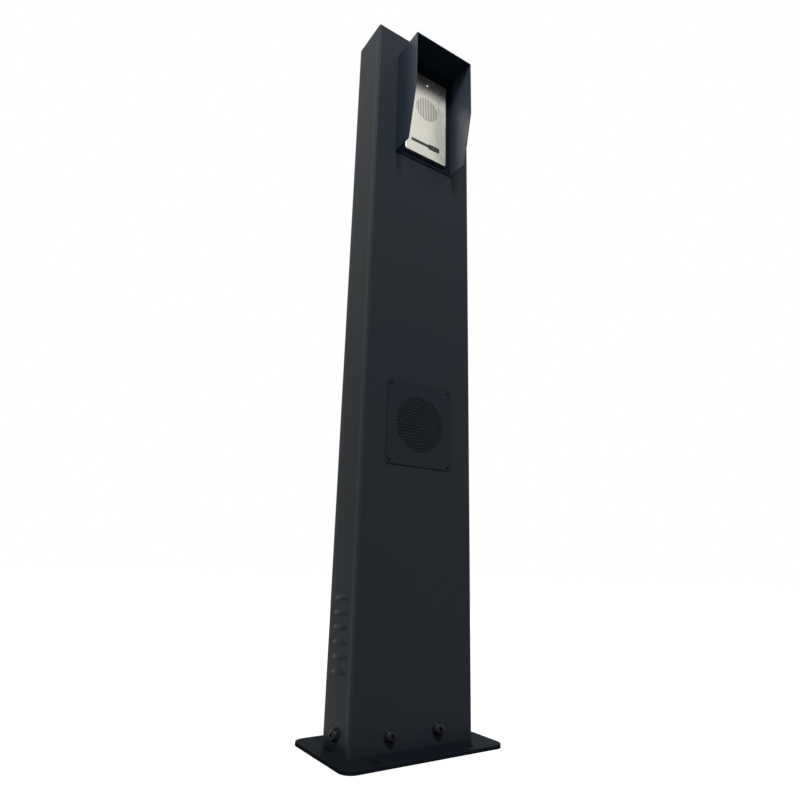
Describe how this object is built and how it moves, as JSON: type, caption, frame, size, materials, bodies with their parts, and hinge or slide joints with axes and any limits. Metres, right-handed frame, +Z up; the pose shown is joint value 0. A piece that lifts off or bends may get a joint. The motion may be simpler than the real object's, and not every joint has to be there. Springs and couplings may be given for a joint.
{
  "type": "drive-thru speaker post",
  "caption": "Free-standing steel call post with a hooded call panel, a push button, a perforated loudspeaker plate, side louvres and a bolted base plate.",
  "frame": {"origin": "centre of the anchor hole pattern on the underside of the base plate", "axes": "+Z up along the pillar, -Y out of the front face with the call panel, +X to the right seen from the front"},
  "size_m": [0.322, 0.2235, 1.5],
  "materials": {
    "powder_coat": "black powder coat, fine texture, low sheen",
    "grille_coat": "black powder coat over perforated sheet",
    "bolt_black": "black oxide finish",
    "panel_metal": "fine brushed stainless sheet",
    "zinc_steel": "zinc plated",
    "plate_zinc": "galvanised sheet",
    "seal_rubber": "closed-cell rubber",
    "black_plastic": "moulded, fine texture",
    "button_plastic": "moulded, satin",
    "window_clear": "smoked clear plastic",
    "card_dark": "printed card, blank",
    "lens_white": "frosted light pipe",
    "board_green": "solder resist",
    "cone_paper": "pressed paper pulp",
    "membrane_cloth": "woven splash cloth",
    "magnet_steel": "ferrite and zinc yoke",
    "terminal_grey": "moulded",
    "case_aluminium": "extruded, natural"
  },
  "bodies": {
    "post": {"base_plate": "powder_coat", "foot_frame": "powder_coat", "foot_bolts": "bolt_black", "foot_washers": "bolt_black", "foot_nuts": "zinc_steel", "earth_stud": "zinc_steel", "earth_stud_nuts": "zinc_steel", "pillar_shell": "powder_coat", "rear_cover": "powder_coat", "rear_cover_screws": "bolt_black", "rear_cover_nuts": "zinc_steel", "rain_hood": "powder_coat", "back_box": "plate_zinc", "back_box_seal": "seal_rubber", "back_box_screws": "zinc_steel", "back_box_nuts": "zinc_steel", "box_grommet": "seal_rubber", "call_panel": "panel_metal", "panel_screws": "zinc_steel", "status_lens": "lens_white", "name_window": "window_clear", "name_card": "card_dark", "key_holder": "black_plastic", "button_spring": "zinc_steel", "button_switch": "black_plastic", "microphone": "zinc_steel", "microphone_boot": "seal_rubber", "circuit_board": "board_green", "board_standoffs": "zinc_steel", "board_screws": "zinc_steel", "panel_speaker_cushion": "seal_rubber", "panel_speaker_frame": "plate_zinc", "panel_speaker_cone": "cone_paper", "panel_speaker_magnet": "magnet_steel", "speaker_grille": "grille_coat", "speaker_grille_seal": "seal_rubber", "speaker_grille_screws": "bolt_black", "speaker_grille_nuts": "zinc_steel", "splash_membrane": "membrane_cloth", "loudspeaker_basket": "powder_coat", "loudspeaker_cone": "cone_paper", "loudspeaker_surround": "seal_rubber", "loudspeaker_magnet": "magnet_steel", "loudspeaker_nuts": "zinc_steel", "equipment_plate": "plate_zinc", "equipment_studs": "zinc_steel", "equipment_nuts": "zinc_steel", "mounting_rail": "plate_zinc", "rail_screws": "zinc_steel", "power_supply": "black_plastic", "terminal_blocks": "terminal_grey", "amplifier_case": "case_aluminium", "amplifier_end_plates": "case_aluminium", "amplifier_screws": "zinc_steel"},
    "call_button": {"call_button": "button_plastic"}
  },
  "joints": [
    {"name": "call_button_press", "type": "slide", "parent": "post", "child": "call_button", "axis": [0, 1, 0], "range_m": [0, 0.0015], "stiffness_N_per_m": 800, "springref_m": -0.001, "deforming": ["button_spring"]}
  ]
}
